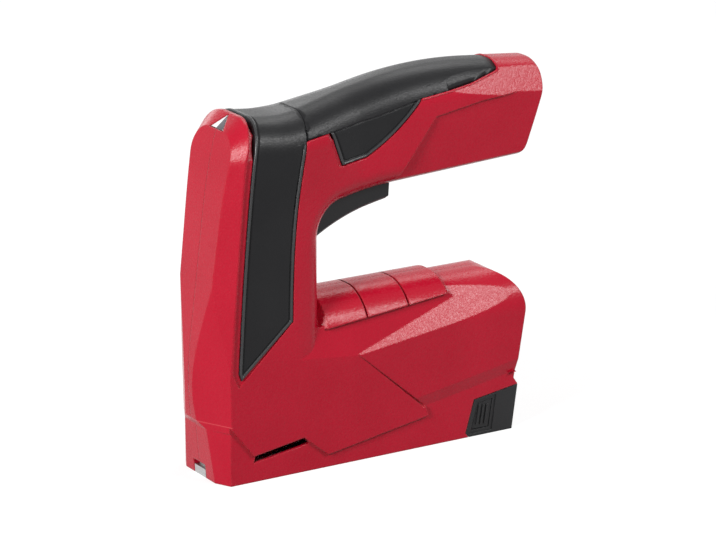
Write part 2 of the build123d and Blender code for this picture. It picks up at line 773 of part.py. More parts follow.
with BuildPart() as light_board:
    with BuildSketch(window.offset(-8.7)):
        with Locations((0, light_low)):
            Rectangle(12, 7)
    extrude(amount=1.2)
light_board.part.label = "light_board"
export_step(light_board.part, "parts/light_board.step")

# Trigger with its pin, spring and switch
with BuildPart() as trigger:
    with BuildSketch(side):
        with BuildLine():
            ThreePointArc(*trigger_face[:3])
            ThreePointArc(*trigger_face[2:])
            Polyline(trigger_face[-1], *trigger_back, trigger_face[0])
        make_face()
        with Locations((pin_x, pin_z)):
            Circle(pin_r + run, mode=Mode.SUBTRACT)
    extrude(amount=trigger_half, both=True)
    with Locations(at(pin_x + 0.5, 0, pin_z)):
        Box(8.4, 5.2, 7.2, mode=Mode.SUBTRACT)
    lower = trigger.edges().filter_by(
        lambda e: abs(e.center().Y) > trigger_half - 0.1 and e.center().Z < pin_z - 8
    )
    chamfer(lower.filter_by(GeomType.CIRCLE), 1.2)
trigger.part.label = "trigger"
export_step(trigger.part, "parts/trigger.step")

with BuildPart() as trigger_pin:
    with BuildSketch(side):
        with Locations((pin_x, pin_z)):
            Circle(pin_r - 0.01)
    extrude(amount=14, both=True)
trigger_pin.part.label = "trigger_pin"
export_step(trigger_pin.part, "parts/trigger_pin.step")

with BuildPart() as trigger_spring:
    with BuildSketch(side):
        with Locations((pin_x, pin_z)):
            RegularPolygon(pin_r + 1.2, 10)
            RegularPolygon(pin_r + 0.5, 10, mode=Mode.SUBTRACT)
    extrude(amount=2.3, both=True)
trigger_spring.part.label = "trigger_spring"
export_step(trigger_spring.part, "parts/trigger_spring.step")

with BuildPart() as switch_body:
    with Locations(at((switch_front + switch_back) / 2, 0, (switch_low + switch_high) / 2)):
        Box(switch_back - switch_front, 2 * switch_half, switch_high - switch_low)
    with Locations(at(plunger_x, 0, switch_low + 2.25)):
        Cylinder(plunger_r + run, 4.5, mode=Mode.SUBTRACT)
    for x in (switch_front + 2.5, (switch_front + switch_back) / 2, switch_back - 2.5):
        with Locations(at(x, 0, switch_high + 2)):
            Box(0.8, 3.2, 4)
switch_body.part.label = "switch_body"
export_step(switch_body.part, "parts/switch_body.step")

with BuildPart() as switch_plunger:
    with Locations(at(plunger_x, 0, switch_low + 0.9 - plunger_long / 2)):
        Cylinder(plunger_r, plunger_long)
switch_plunger.part.label = "switch_plunger"
export_step(switch_plunger.part, "parts/switch_plunger.step")

# Cell, board and socket in the handle
with BuildPart() as battery_cell:
    with BuildSketch(cross(cell_front)):
        with Locations((0, cell_z)):
            Circle(cell_r - 0.02)
    extrude(amount=cell_back - cell_front)
battery_cell.part.label = "battery_cell"
export_step(battery_cell.part, "parts/battery_cell.step")

with BuildPart() as battery_tabs:
    for x in (cell_front - 0.2, cell_back + 0.2):
        with Locations(at(x, 0, cell_z + 4)):
            Box(0.3, 7, 16)
battery_tabs.part.label = "battery_tabs"
export_step(battery_tabs.part, "parts/battery_tabs.step")

with BuildPart() as control_board:
    with Locations(at(124, 0, board_low + board_thick / 2)):
        Box(56, 2 * board_half - 0.1, board_thick - 0.1)
    for x, y, length, width, high in ((108, 0, 9, 7, 1.6), (122, 3, 5, 4, 1.2), (134, -3, 7, 6, 1.8)):
        with Locations(at(x, y, board_low + board_thick + high / 2 - 0.1)):
            Box(length, width, high)
control_board.part.label = "control_board"
export_step(control_board.part, "parts/control_board.step")

with BuildPart() as charge_socket:
    with BuildSketch(cross(153)):
        with Locations((0, (socket_low + socket_high) / 2)):
            RectangleRounded(2 * socket_half, socket_high - socket_low, 1.1)
    extrude(amount=9)
    with BuildSketch(cross(156)):
        with Locations((0, (socket_low + socket_high) / 2)):
            RectangleRounded(2 * socket_half - 1.4, socket_high - socket_low - 1.2, 0.8)
    extrude(amount=9, mode=Mode.SUBTRACT)
charge_socket.part.label = "charge_socket"
export_step(charge_socket.part, "parts/charge_socket.step")

# Motor and gears
with BuildPart() as motor_can:
    with BuildSketch(drive(motor_front + 0.1)):
        Circle(motor_r - 0.02)
    extrude(amount=motor_back - motor_front - 0.2)
motor_can.part.label = "motor_can"
export_step(motor_can.part, "parts/motor_can.step")

with BuildPart() as motor_cap:
    with BuildSketch(drive(motor_back)):
        Circle(motor_r - 0.6)
    extrude(amount=cap_depth)
    with BuildSketch(drive(motor_back + cap_depth)):
        RegularPolygon(4, 8)
    extrude(amount=2)
motor_cap.part.label = "motor_cap"
export_step(motor_cap.part, "parts/motor_cap.step")

with BuildPart() as motor_terminals:
    for s in (-1, 1):
        with Locations(at(motor_back + cap_depth + 2.6, s * 7, motor_z)):
            Box(5, 0.6, 3)
motor_terminals.part.label = "motor_terminals"
export_step(motor_terminals.part, "parts/motor_terminals.step")

with BuildPart() as gear_case:
    with BuildSketch(drive(gear_front + 0.1)):
        Circle(gear_r - 0.02)
    extrude(amount=motor_front - gear_front - 0.1)
    with BuildSketch(drive(gear_front)):
        RegularPolygon(shaft_r + 0.3, 12, major_radius=False)
    extrude(amount=8, mode=Mode.SUBTRACT)
gear_case.part.label = "gear_case"
export_step(gear_case.part, "parts/gear_case.step")

with BuildPart() as output_bearing:
    with BuildSketch(drive(36.9)):
        Circle(bearing_r - 0.02)
        Circle(shaft_r + run, mode=Mode.SUBTRACT)
    extrude(amount=3)
output_bearing.part.label = "output_bearing"
export_step(output_bearing.part, "parts/output_bearing.step")

with BuildPart() as output_shaft:
    with BuildSketch(drive(29.6)):
        Circle(shaft_r)
    extrude(amount=17)
output_shaft.part.label = "output_shaft"
export_step(output_shaft.part, "parts/output_shaft.step")

# Toothed sector: one tooth stands at the rack, the others follow below it
tooth_turn = degrees(tooth_step / pitch_r)
with BuildPart() as sector_gear:
    with BuildSketch(drive(sector_front)):
        with BuildLine():
            first, last = radians(5), radians(-(tooth_count - 1) * tooth_turn - 5)
            half_way = (first + last) / 2
            root = pitch_r - 1.25
            Polyline((root * cos(last), root * sin(last)), (0, 0), (root * cos(first), root * sin(first)))
            ThreePointArc(
                (root * cos(first), root * sin(first)), (root * cos(half_way), root * sin(half_way)),
                (root * cos(last), root * sin(last)),
            )
        make_face()
        Circle(shaft_r + 2.2)
        for k in range(tooth_count):
            with Locations(Location((0, 0, 0), (0, 0, -k * tooth_turn))):
                with Locations((pitch_r - 0.3, 0)):
                    Trapezoid(1.5, 2.4, 80, rotation=-90)
        Circle(shaft_r, mode=Mode.SUBTRACT)
    extrude(amount=sector_back - sector_front)
sector_gear.part.label = "sector_gear"
export_step(sector_gear.part, "parts/sector_gear.step")

# Hammer with its rack, the driver blade and what guides them
with BuildPart() as hammer:
    with BuildSketch(plan.offset(hammer_low)):
        with Locations(((blade_back + hammer_back) / 2, 0)):
            Rectangle(hammer_back - blade_back, 19)
        with Locations((rod_x, 0)):
            Rectangle(9, 2 * rod_y)
        with Locations((rod_x, rod_y), (rod_x, -rod_y)):
            RegularPolygon(4.3, 12, major_radius=False)
            Circle(rod_r + run, mode=Mode.SUBTRACT)
    extrude(amount=hammer_high - hammer_low)
    with Locations(at((hammer_back + sector_back) / 2 - 1, 10, hammer_low + 3)):
        Box(sector_back - hammer_back + 2, 8, 6)
    with BuildSketch(cross(sector_front + 0.2)):
        with BuildLine():
            Polyline(
                (pitch_r + 1.3, motor_z - tooth_count * tooth_step),
                (pitch_r + 4.6, motor_z - tooth_count * tooth_step),
                (pitch_r + 4.6, hammer_low + 6), (pitch_r + 1.3, hammer_low + 6), close=True,
            )
        make_face()
        with Locations(*[(pitch_r + 0.3, motor_z + (0.5 - k) * tooth_step) for k in range(tooth_count + 1)]):
            Trapezoid(1.7, 2.3, 70, rotation=90)
    extrude(amount=sector_back - sector_front - 0.4)
hammer.part.label = "hammer"
export_step(hammer.part, "parts/hammer.step")

with BuildPart() as driver_blade:
    with Locations(at((blade_front + blade_back) / 2, 0, (1.0 + hammer_high - 4) / 2)):
        Box(blade_back - blade_front, 2 * blade_half, hammer_high - 5.0)
driver_blade.part.label = "driver_blade"
export_step(driver_blade.part, "parts/driver_blade.step")

with BuildPart() as guide_rods:
    with BuildSketch(plan.offset(frame_low - plate)):
        with Locations((rod_x, rod_y), (rod_x, -rod_y)):
            Circle(rod_r)
    extrude(amount=frame_high - frame_low + 2 * plate)
guide_rods.part.label = "guide_rods"
export_step(guide_rods.part, "parts/guide_rods.step")

with BuildPart() as drive_frame:
    with BuildSketch(cross(frame_front)):
        with BuildLine():
            Polyline(
                (-frame_end, frame_low), (-frame_end, frame_low - plate), (frame_half, frame_low - plate),
                (frame_half, frame_high - 2.5), (frame_end, frame_high + plate),
                (-frame_end, frame_high + plate),
                (-frame_end, frame_high), (frame_end - 0.5, frame_high), (frame_half - web, frame_high - 3),
                (frame_half - web, frame_low), close=True,
            )
        make_face()
    extrude(amount=frame_back - frame_front)
    with BuildSketch(plan):
        with Locations((rod_x, rod_y), (rod_x, -rod_y)):
            RegularPolygon(rod_r + 0.05, 12, major_radius=False)
    extrude(amount=200, mode=Mode.SUBTRACT)
drive_frame.part.label = "drive_frame"
export_step(drive_frame.part, "parts/drive_frame.step")

with BuildPart() as bumper:
    with Locations(at(rod_x, 0, (frame_low + hammer_low) / 2)):
        Box(20, 18, hammer_low - frame_low - 0.04)
bumper.part.label = "bumper"
export_step(bumper.part, "parts/bumper.step")

with BuildPart() as main_spring:
    with BuildSketch(plan.offset(hammer_high)):
        with Locations((rod_x, 0)):
            RegularPolygon(spring_r, 16)
            RegularPolygon(spring_r - 2, 16, mode=Mode.SUBTRACT)
    extrude(amount=frame_high - hammer_high)
main_spring.part.label = "main_spring"
export_step(main_spring.part, "parts/main_spring.step")

# Nose
with BuildPart() as nose_plate:
    with Locations(at(blade_front - 0.9, 0, 28 + floor / 2)):
        Box(1.0, 18, 56 - floor)
nose_plate.part.label = "nose_plate"
export_step(nose_plate.part, "parts/nose_plate.step")

with BuildPart() as nose_contact:
    with BuildSketch(side):
        with BuildLine():
            Polyline(
                (contact_x + contact_thick / 2, 0.05), (contact_x + contact_thick / 2, contact_high),
                (nose_face - 0.2, contact_high), (nose_face, 0.05), close=True,
            )
        make_face()
    extrude(amount=contact_half, both=True)
    with Locations(at(contact_x, 0, stem_top / 2 + 0.02)):
        Box(contact_thick, 2 * stem_half, stem_top)
    with Locations(at(contact_x - 2, 0, stem_top - 0.5)):
        Box(4, 2 * stem_half, 1)
nose_contact.part.label = "nose_contact"
export_step(nose_contact.part, "parts/nose_contact.step")

with BuildPart() as contact_spring:
    with BuildSketch(plan.offset(stem_top)):
        with Locations((contact_x - 2.2, 0)):
            RegularPolygon(1.7, 10)
            RegularPolygon(1.1, 10, mode=Mode.SUBTRACT)
    extrude(amount=8)
contact_spring.part.label = "contact_spring"
export_step(contact_spring.part, "parts/contact_spring.step")

# Magazine
with BuildPart() as magazine_channel:
    with BuildSketch(cross(channel_front)):
        with BuildLine():
            Polyline(
                (-channel_half, floor), (-channel_half, channel_top), (channel_half, channel_top),
                (channel_half, floor),
                (channel_half - sheet, floor), (channel_half - sheet, channel_top - sheet),
                (-channel_half + sheet, channel_top - sheet), (-channel_half + sheet, floor), close=True,
            )
        make_face()
    extrude(amount=channel_back - channel_front)
magazine_channel.part.label = "magazine_channel"
export_step(magazine_channel.part, "parts/magazine_channel.step")

with BuildPart() as magazine_rail:
    with Locations(at((rail_front + rail_back) / 2, 0, (floor + 0.3 + rail_top) / 2)):
        Box(rail_back - rail_front, 2 * rail_half, rail_top - floor - 0.3)
magazine_rail.part.label = "magazine_rail"
export_step(magazine_rail.part, "parts/magazine_rail.step")

with BuildPart() as pusher:
    with BuildSketch(cross(pusher_front)):
        with Locations((0, (floor + channel_top - sheet) / 2)):
            Rectangle(2 * (channel_half - sheet - slide_gap), channel_top - sheet - floor - 2 * slide_gap)
        with Locations((0, (floor + rail_top) / 2 - 1)):
            Rectangle(2 * (rail_half + slide_gap), rail_top - floor + 2 + 2 * slide_gap, mode=Mode.SUBTRACT)
    extrude(amount=pusher_back - pusher_front)
pusher.part.label = "pusher"
export_step(pusher.part, "parts/pusher.step")

with BuildPart() as pusher_spring:
    with BuildSketch(side):
        with Locations((pusher_back + 1.7, 14)):
            RegularPolygon(1.6, 10)
            RegularPolygon(0.7, 10, mode=Mode.SUBTRACT)
    extrude(amount=2.5, both=True)
pusher_spring.part.label = "pusher_spring"
export_step(pusher_spring.part, "parts/pusher_spring.step")

field_outline = ((128.0, 1.4), (140.4, 1.4), (142.8, 18.7), (131.6, 17.0))
field_deep = 0.5
button_outline = ((129.4, 3.4), (138.6, 3.4), (140.6, 16.6), (133.2, 15.6))
with BuildPart() as magazine_end_cap:
    add(side_prism(cap_outline, strip_half))
    for s in (-1, 1):
        with BuildSketch(side.offset(s * strip_half)):
            with BuildLine():
                Polyline(*field_outline, close=True)
            make_face()
        extrude(amount=-s * field_deep, mode=Mode.SUBTRACT)
        with BuildSketch(side.offset(s * strip_half)):
            with BuildLine():
                Polyline(*button_outline, close=True)
            make_face()
            offset(amount=slide_gap, kind=Kind.INTERSECTION)
        extrude(amount=-s * button_pocket, mode=Mode.SUBTRACT)
    with Locations(at(rail_back - 5, 0, (floor + 0.3 + rail_top) / 2)):
        Box(10, 2 * rail_half, rail_top - floor - 0.3, mode=Mode.SUBTRACT)
magazine_end_cap.part.label = "magazine_end_cap"
export_step(magazine_end_cap.part, "parts/magazine_end_cap.step")

for name, s in (("latch_button_left", 1), ("latch_button_right", -1)):
    with BuildPart() as latch_button:
        with BuildSketch(side.offset(s * (strip_half - 0.7))):
            with BuildLine():
                Polyline(*button_outline, close=True)
            make_face()
        extrude(amount=-s * 2)
        for x in (132.2, 134.4, 136.6):
            with BuildSketch(side.offset(s * (strip_half - 0.7))):
                with BuildLine():
                    Polyline((x - 0.5, 5.2), (x + 0.5, 5.2), (x + 2, 14.6), (x + 1, 14.6), close=True)
                make_face()
            extrude(amount=s * 0.6)
    latch_button.part.label = name
    export_step(latch_button.part, f"parts/{name}.step")

with BuildPart() as housing_screws:
    for x, z, reach in screw_places:
        with BuildSketch(side.offset(screw_deep)):
            with Locations((x, z)):
                RegularPolygon(screw_r - 0.02, 8)
        extrude(amount=-(screw_deep + reach - head_deep))
        with BuildSketch(side.offset(-(reach - head_deep))):
            with Locations((x, z)):
                RegularPolygon(head_r, 16)
        extrude(amount=-2)
housing_screws.part.label = "housing_screws"
export_step(housing_screws.part, "parts/housing_screws.step")
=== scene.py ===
import json
from math import cos, pi, radians, sin

import bmesh
import bpy
from mathutils import Matrix, Vector
from mathutils.kdtree import KDTree

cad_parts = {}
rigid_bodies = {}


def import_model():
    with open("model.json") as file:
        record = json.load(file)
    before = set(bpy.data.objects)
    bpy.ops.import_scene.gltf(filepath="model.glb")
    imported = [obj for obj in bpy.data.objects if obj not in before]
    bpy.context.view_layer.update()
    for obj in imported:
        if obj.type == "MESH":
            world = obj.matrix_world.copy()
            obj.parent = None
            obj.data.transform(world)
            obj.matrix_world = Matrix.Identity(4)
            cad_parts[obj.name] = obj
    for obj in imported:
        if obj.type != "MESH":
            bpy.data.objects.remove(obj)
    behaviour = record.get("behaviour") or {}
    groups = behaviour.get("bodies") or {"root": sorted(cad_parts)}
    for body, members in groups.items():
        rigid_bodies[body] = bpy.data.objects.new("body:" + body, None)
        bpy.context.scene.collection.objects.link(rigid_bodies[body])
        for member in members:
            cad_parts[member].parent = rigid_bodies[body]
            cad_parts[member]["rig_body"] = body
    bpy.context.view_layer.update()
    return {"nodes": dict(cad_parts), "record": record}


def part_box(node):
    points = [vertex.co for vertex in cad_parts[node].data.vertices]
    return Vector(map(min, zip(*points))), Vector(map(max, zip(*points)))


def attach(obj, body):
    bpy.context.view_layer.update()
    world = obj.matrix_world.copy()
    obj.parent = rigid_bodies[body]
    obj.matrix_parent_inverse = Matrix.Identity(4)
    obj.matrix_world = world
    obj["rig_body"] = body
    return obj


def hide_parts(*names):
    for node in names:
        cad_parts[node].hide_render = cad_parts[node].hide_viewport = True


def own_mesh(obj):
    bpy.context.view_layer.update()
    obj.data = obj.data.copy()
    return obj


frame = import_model()
nodes = frame["nodes"]
slots = {sub["node"]: sub["material_slot"] for sub in frame["record"]["subparts"]}
scene = bpy.context.scene

NOSE = -0.0809            # nose corner in the shared frame, metres


def at(x, y, z):
    """Point from length behind the nose corner, side and height in millimetres."""
    return Vector((NOSE + x / 1000, y / 1000, z / 1000))


def side_view(point):
    """Length behind the nose corner and height of a point, in millimetres."""
    return (point.x - NOSE) * 1000, point.z * 1000


def clamp(t):
    return min(1.0, max(0.0, t))


def smooth(t):
    """Soft step from 0 to 1."""
    t = clamp(t)
    return t * t * (3 - 2 * t)


# Shader nodes

MIX_SHARE, MIX_UNDER, MIX_OVER, MIXED = 0, 6, 7, 2      # sockets of a colour Mix node


def material(name):
    """New material, its node tree and its main shader."""
    mat = bpy.data.materials.new(name)
    mat.use_nodes = True
    tree = mat.node_tree
    return mat, tree, tree.nodes["Principled BSDF"]


def node(tree, kind, **values):
    """New node with values set on its inputs, or else on the node itself."""
    n = tree.nodes.new(kind)
    for key, value in values.items():
        if key in n.inputs:
            n.inputs[key].default_value = value
        else:
            setattr(n, key, value)
    return n


def feed(tree, values, inputs):
    """Each value, which is a socket or a plain number or vector, goes into its input."""
    for value, socket in zip(values, inputs):
        if isinstance(value, bpy.types.NodeSocket):
            tree.links.new(value, socket)
        else:
            socket.default_value = value


def maths(tree, operation, *operands, **settings):
    """Output of a Math node."""
    n = node(tree, "ShaderNodeMath", operation=operation, **settings)
    feed(tree, operands, n.inputs)
    return n.outputs["Value"]


def vectors(tree, operation, *operands):
    """Output of a Vector Math node, which is a number for a dot product."""
    n = node(tree, "ShaderNodeVectorMath", operation=operation)
    feed(tree, operands, n.inputs)
    return n.outputs["Value" if operation == "DOT_PRODUCT" else "Vector"]


def grey(value):
    return (value, value, value)


def ramp(tree, value, stops):
    """Colour that runs between two stops of place and colour as a value grows."""
    n = tree.nodes.new("ShaderNodeValToRGB")
    for element, (place, colour) in zip(n.color_ramp.elements, stops):
        element.position = place
        element.color = (*colour, 1)
    tree.links.new(value, n.inputs["Fac"])
    return n.outputs["Color"]


def coords(tree):
    return tree.nodes.new("ShaderNodeTexCoord").outputs["Object"]


def noise(tree, place, scale, detail=3.0, rough=0.5):
    n = node(tree, "ShaderNodeTexNoise", Scale=scale, Detail=detail, Roughness=rough)
    tree.links.new(place, n.inputs["Vector"])
    return n.outputs["Fac"]


def painted(tree, under, share, colour):
    """Colour laid over another by a share from 0 to 1."""
    n = node(tree, "ShaderNodeMix", data_type="RGBA")
    feed(tree, (share, under, (*colour, 1)), [n.inputs[k] for k in (MIX_SHARE, MIX_UNDER, MIX_OVER)])
    return n.outputs[MIXED]


def bump(tree, height, strength, distance):
    n = node(tree, "ShaderNodeBump", Strength=strength, Distance=distance)
    tree.links.new(height, n.inputs["Height"])
    return n


# Lines drawn on the housing, among them a painted ledge highlight and painted shade in a joint, in metres of
# the shared frame

SEAM_HALF, SEAM_RED = 0.00007, (0.301, 0.0028, 0.0147)
LEDGE, LEDGE_HALF, LEDGE_HIGHLIGHT_RED = 0.0283, 0.00018, (0.60, 0.06, 0.075)
LEDGE_END = NOSE + 0.0004
JOINT_FOOT, JOINT_WAY = at(40.6, 0, 155.2), Vector((4.2, 0, 18.8)).normalized()
JOINT_ACROSS = (JOINT_WAY.z, 0, -JOINT_WAY.x)
JOINT_HALF, JOINT_LOW, JOINT_PAINTED_SHADE = 0.0007, 0.1549, (0.008, 0.008, 0.009)


def housing_lines_and_painted_light(tree, colour, place):
    """Parting line, painted highlight along the fine ledge across the lower front, and painted shade in the
    joint of band and grip.
    """
    axes = tree.nodes.new("ShaderNodeSeparateXYZ")
    tree.links.new(place, axes.inputs[0])
    x, y, z = axes.outputs
    on_seam = maths(tree, "LESS_THAN", maths(tree, "ABSOLUTE", y), SEAM_HALF)
    colour = painted(tree, colour, on_seam, SEAM_RED)
    # painted highlight: a paler red line along the ledge
    level = maths(tree, "COMPARE", z, LEDGE, LEDGE_HALF)
    fore = maths(tree, "LESS_THAN", x, LEDGE_END)
    colour = painted(tree, colour, maths(tree, "MULTIPLY", level, fore), LEDGE_HIGHLIGHT_RED)
    # painted shade: the red housing inside the joint of band and grip is painted black
    across = vectors(tree, "DOT_PRODUCT", vectors(tree, "SUBTRACT", place, JOINT_FOOT), JOINT_ACROSS)
    inside = maths(tree, "LESS_THAN", maths(tree, "ABSOLUTE", across), JOINT_HALF)
    above = maths(tree, "GREATER_THAN", z, JOINT_LOW)
    return painted(tree, colour, maths(tree, "MULTIPLY", inside, above), JOINT_PAINTED_SHADE)


# Materials

CLOUDS, WEAR_AND_HIGHLIGHT_PATCHES = 34.0, 120.0             # scale of the noise
GRAIN_HEIGHT, STREAK_HEIGHT = 0.0002, 0.0001   # metres at full strength
STREAK_STRENGTH = 0.15


def wear_and_edge_highlight(tree, colour, place, rounded, pale):
    """Paler patches along edges, where the rounded normal turns away from the plain one: rubbed wear and a
    painted edge highlight.
    """
    plain = tree.nodes.new("ShaderNodeNewGeometry").outputs["Normal"]
    turn = vectors(tree, "DOT_PRODUCT", rounded, plain)
    on_edge = ramp(tree, turn, ((0.82, grey(1.0)), (0.97, grey(0.0))))
    patch = ramp(tree, noise(tree, place, WEAR_AND_HIGHLIGHT_PATCHES, 4.0), ((0.42, grey(0.15)), (0.66, grey(0.85))))
    return painted(tree, colour, maths(tree, "MULTIPLY", on_edge, patch), pale)


def moulded(name, low, high, rough, grain, depth, rounding=0.0003, specular=0.5, edge=None, lines=None):
    """Moulded plastic or rubber: clouding, eroded grain, softened edges and, where given, edge wear with a
    painted edge highlight, and lines.
    """
    mat, tree, bsdf = material(name)
    link = tree.links.new
    place = coords(tree)
    fine = noise(tree, place, grain, 2.0, 0.6)
    rounded = node(tree, "ShaderNodeBevel", Radius=rounding, samples=4).outputs["Normal"]
    colour = ramp(tree, noise(tree, place, CLOUDS, 4.0), ((0.3, low), (0.7, high)))
    # paler edges: rubbed wear and a painted edge highlight
    if edge:
        colour = wear_and_edge_highlight(tree, colour, place, rounded, edge)
    if lines:
        colour = lines(tree, colour, place)
    link(colour, bsdf.inputs["Base Color"])
    link(ramp(tree, fine, ((0.35, grey(rough[0])), (0.7, grey(rough[1])))), bsdf.inputs["Roughness"])
    bsdf.inputs["Specular IOR Level"].default_value = specular
    relief = bump(tree, fine, depth, GRAIN_HEIGHT)
    link(rounded, relief.inputs["Normal"])
    link(relief.outputs["Normal"], bsdf.inputs["Normal"])
    return mat


def metal(name, low, high, rough, scale=400.0, stretch=(1, 1, 8)):
    """Drawn or ground metal with fine streaks along one way."""
    mat, tree, bsdf = material(name)
    link = tree.links.new
    mapping = node(tree, "ShaderNodeMapping", Scale=stretch)
    link(coords(tree), mapping.inputs["Vector"])
    streak = noise(tree, mapping.outputs["Vector"], scale)
    link(ramp(tree, streak, ((0.3, low), (0.7, high))), bsdf.inputs["Base Color"])
    link(ramp(tree, streak, ((0.3, grey(rough[0])), (0.7, grey(rough[1])))), bsdf.inputs["Roughness"])
    bsdf.inputs["Metallic"].default_value = 1.0
    relief = bump(tree, streak, STREAK_STRENGTH, STREAK_HEIGHT)
    link(relief.outputs["Normal"], bsdf.inputs["Normal"])
    return mat


# the edge colours are paler edge patches: rubbed wear and a painted edge highlight
red = moulded(
    "red_shell", (0.43, 0.004, 0.021), (0.48, 0.006, 0.026), rough=(0.20, 0.32), grain=900.0, depth=0.45,
    rounding=0.0010, specular=0.19, edge=(0.58, 0.05, 0.06), lines=housing_lines_and_painted_light,
)
soft = moulded(
    "soft_black", (0.006, 0.006, 0.007), (0.010, 0.010, 0.011), rough=(0.31, 0.45), grain=1300.0, depth=0.40,
    specular=0.19, edge=(0.03, 0.03, 0.032),
)
bead_black = moulded(
    "soft_bead", (0.012, 0.012, 0.013), (0.018, 0.018, 0.020), rough=(0.24, 0.36), grain=1300.0, depth=0.15,
    rounding=0.0002,
)
black = moulded(
    "black_plastic", (0.008, 0.008, 0.009), (0.014, 0.014, 0.015), rough=(0.32, 0.46), grain=1300.0,
    depth=0.3, specular=0.26, edge=(0.04, 0.04, 0.042),
)
rubber = moulded("bumper_rubber", grey(0.03), grey(0.05), rough=(0.75, 0.9), grain=900.0, depth=0.3)
sleeve = moulded(
    "cell_sleeve", (0.05, 0.16, 0.38), (0.06, 0.19, 0.43), rough=(0.3, 0.4), grain=600.0, depth=0.05,
)
green = moulded(
    "board_green", (0.015, 0.12, 0.045), (0.02, 0.16, 0.06), rough=(0.35, 0.5), grain=700.0, depth=0.08,
)
plunger_red = moulded(
    "red_plunger", (0.36, 0.03, 0.025), (0.42, 0.04, 0.03), rough=(0.4, 0.5), grain=1500.0, depth=0.06,
)
# white: the light's own white, and on the window's lit face a painted reflection; smoke: the lens's smoky
# tint, darkened with painted shade
lens_white_and_painted_reflection = moulded(
    "lens_white_and_painted_reflection", (0.84, 0.84, 0.85), (0.92, 0.92, 0.93), rough=(0.08, 0.14), grain=500.0, depth=0.02,
)
lens_smoke_and_painted_shade = moulded(
    "lens_smoke_and_painted_shade", (0.06, 0.05, 0.06), (0.38, 0.35, 0.38), rough=(0.06, 0.12), grain=420.0, depth=0.02,
)
steel = metal("tool_steel", grey(0.42), grey(0.55), (0.25, 0.42))
sheet = metal("magazine_sheet", grey(0.56), grey(0.67), (0.22, 0.36), stretch=(8, 1, 1))
spring = metal("spring_steel", grey(0.32), grey(0.42), (0.3, 0.45))
bronze = metal("bearing_bronze", (0.45, 0.3, 0.13), (0.55, 0.38, 0.18), (0.35, 0.5))
nickel = metal("nickel", (0.62, 0.6, 0.56), (0.7, 0.68, 0.64), (0.18, 0.3))
zinc = metal(
    "screw_zinc", (0.30, 0.30, 0.31), (0.42, 0.42, 0.43), (0.3, 0.45), scale=900.0, stretch=(1, 1, 1),
)

dress = {
    red: ("housing_left", "housing_right"),
    soft: ("soft_band_left", "soft_band_right", "soft_grip_left", "soft_grip_right"),
    black: (
        "trigger", "switch_body", "magazine_end_cap", "latch_button_left", "latch_button_right", "motor_cap",
        "pusher",
    ),
    steel: (
        "output_shaft", "sector_gear", "hammer", "driver_blade", "guide_rods", "drive_frame", "nose_plate",
        "nose_contact", "trigger_pin", "motor_can", "gear_case",
    ),
    sheet: ("magazine_channel", "magazine_rail"),
    spring: ("main_spring", "contact_spring", "trigger_spring", "pusher_spring"),
    bronze: ("output_bearing",),
    nickel: ("battery_tabs", "charge_socket", "motor_terminals"),
    rubber: ("bumper",),
    sleeve: ("battery_cell",),
    green: ("light_board", "control_board"),
    plunger_red: ("switch_plunger",),
    lens_white_and_painted_reflection: ("charge_window", "charge_light"),
    zinc: ("housing_screws",),
}
for mat, names in dress.items():
    for name in names:
        nodes[name].data.materials.clear()
        nodes[name].data.materials.append(mat)


# Meshes and pieces

ASKEW = Vector((0.123, 0.456, 0.881))      # a direction that no wire follows
WELD = 2e-6                                # metres between corners that become one
SHARP, SKIN_SHARP = 40, 50                 # degrees from which an edge stays sharp


def piece(name, mesh, body, slot, *mats):
    """Object made of a finished mesh, on a body of the tool; the slot argument is not used."""
    obj = bpy.data.objects.new(name, mesh)
    scene.collection.objects.link(obj)
    for mat in mats:
        mesh.materials.append(mat)
    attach(obj, body)
    return obj


def stand_in(name, mesh, cad_name, *mats):
    """Finished piece shown in place of a CAD node, on the same body."""
    obj = piece(name, mesh, nodes[cad_name]["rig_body"], slots[cad_name], *mats)
    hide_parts(cad_name)
    return obj


def welded(cad_name):
    """Copy of a CAD node's mesh in which neighbouring faces share their corners."""
    bm = bmesh.new()
    bm.from_mesh(nodes[cad_name].data)
    bmesh.ops.remove_doubles(bm, verts=bm.verts[:], dist=WELD)
    bm.normal_update()
    return bm


def to_mesh(bm, name, sharp=None):
    """Mesh shaded smooth up to a sharp angle in degrees, or flat without one."""
    for f in bm.faces:
        f.smooth = sharp is not None
    mesh = bpy.data.meshes.new(name)
    bm.to_mesh(mesh)
    bm.free()
    if sharp is not None:
        mesh.set_sharp_from_angle(angle=radians(sharp))
    return mesh


def mirrored(mesh):
    """Copy of a left mesh for the right side."""
    other = mesh.copy()
    other.transform(Matrix.Diagonal((1, -1, 1, 1)))
    other.flip_normals()
    return other


def add_rings(bm, rings):
    """Closed skin over rings of points with the same count."""
    loops = [[bm.verts.new(p) for p in ring] for ring in rings]
    faces = []
    for a, b in zip(loops, loops[1:]):
        for i in range(len(a)):
            k = (i + 1) % len(a)
            faces.append(bm.faces.new((a[i], a[k], b[k], b[i])))
    faces += [bm.faces.new(loops[0][::-1]), bm.faces.new(loops[-1])]
    bmesh.ops.recalc_face_normals(bm, faces=faces)


def rings_mesh(name, rings):
    """Mesh of one closed skin over rings."""
    bm = bmesh.new()
    add_rings(bm, rings)
    return to_mesh(bm, name, SHARP)


def tube(name, points, radius, sides=8):
    """Round wire along a run of points."""
    rings = []
    for i, p in enumerate(points):
        way = (points[min(i + 1, len(points) - 1)] - points[max(i - 1, 0)]).normalized()
        one = way.cross(ASKEW).normalized()
        two = one.cross(way)
        turns = [2 * pi * k / sides for k in range(sides)]
        rings.append([p + (one * cos(t) + two * sin(t)) * radius for t in turns])
    return rings_mesh(name, rings)


# Soft skins: a raised bead round the edge, a groove inside it and the crease of the wedge, in millimetres

